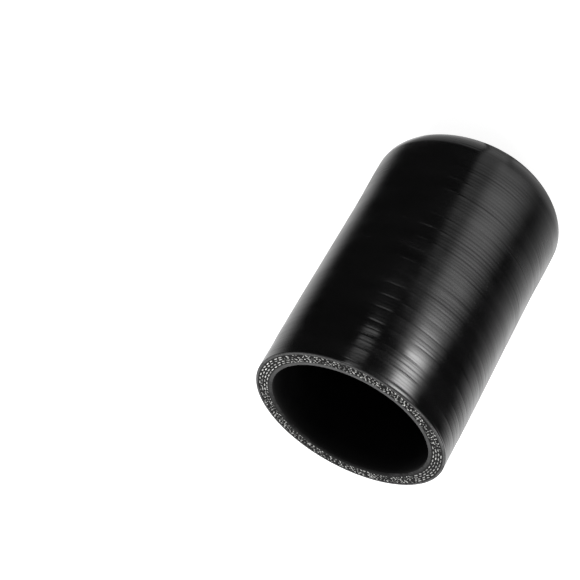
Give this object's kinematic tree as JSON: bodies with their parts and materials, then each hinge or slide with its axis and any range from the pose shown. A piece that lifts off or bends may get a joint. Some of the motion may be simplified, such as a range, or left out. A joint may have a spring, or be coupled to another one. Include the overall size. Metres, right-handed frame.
{
  "type": "silicone hose end cap",
  "caption": "Black silicone blanking cap for a pipe end: a round-ended tube, open at one end, that slides over a 51 mm pipe stub and is held by a hose clamp.",
  "frame": {"origin": "centre of the flat on the closed end, the lowest point of the cap as it stands", "axes": "+Z along the cap's axis, from the closed end to the open mouth; the cap is round, so X and Y are arbitrary"},
  "size_m": [0.0632, 0.0632, 0.1],
  "materials": {
    "silicone": "satin black silicone with faint tape-wrap marks; cut rim matte, with rings of light reinforcing yarn"
  },
  "bodies": {
    "root": {"end_cap": "silicone"}
  },
  "joints": []
}
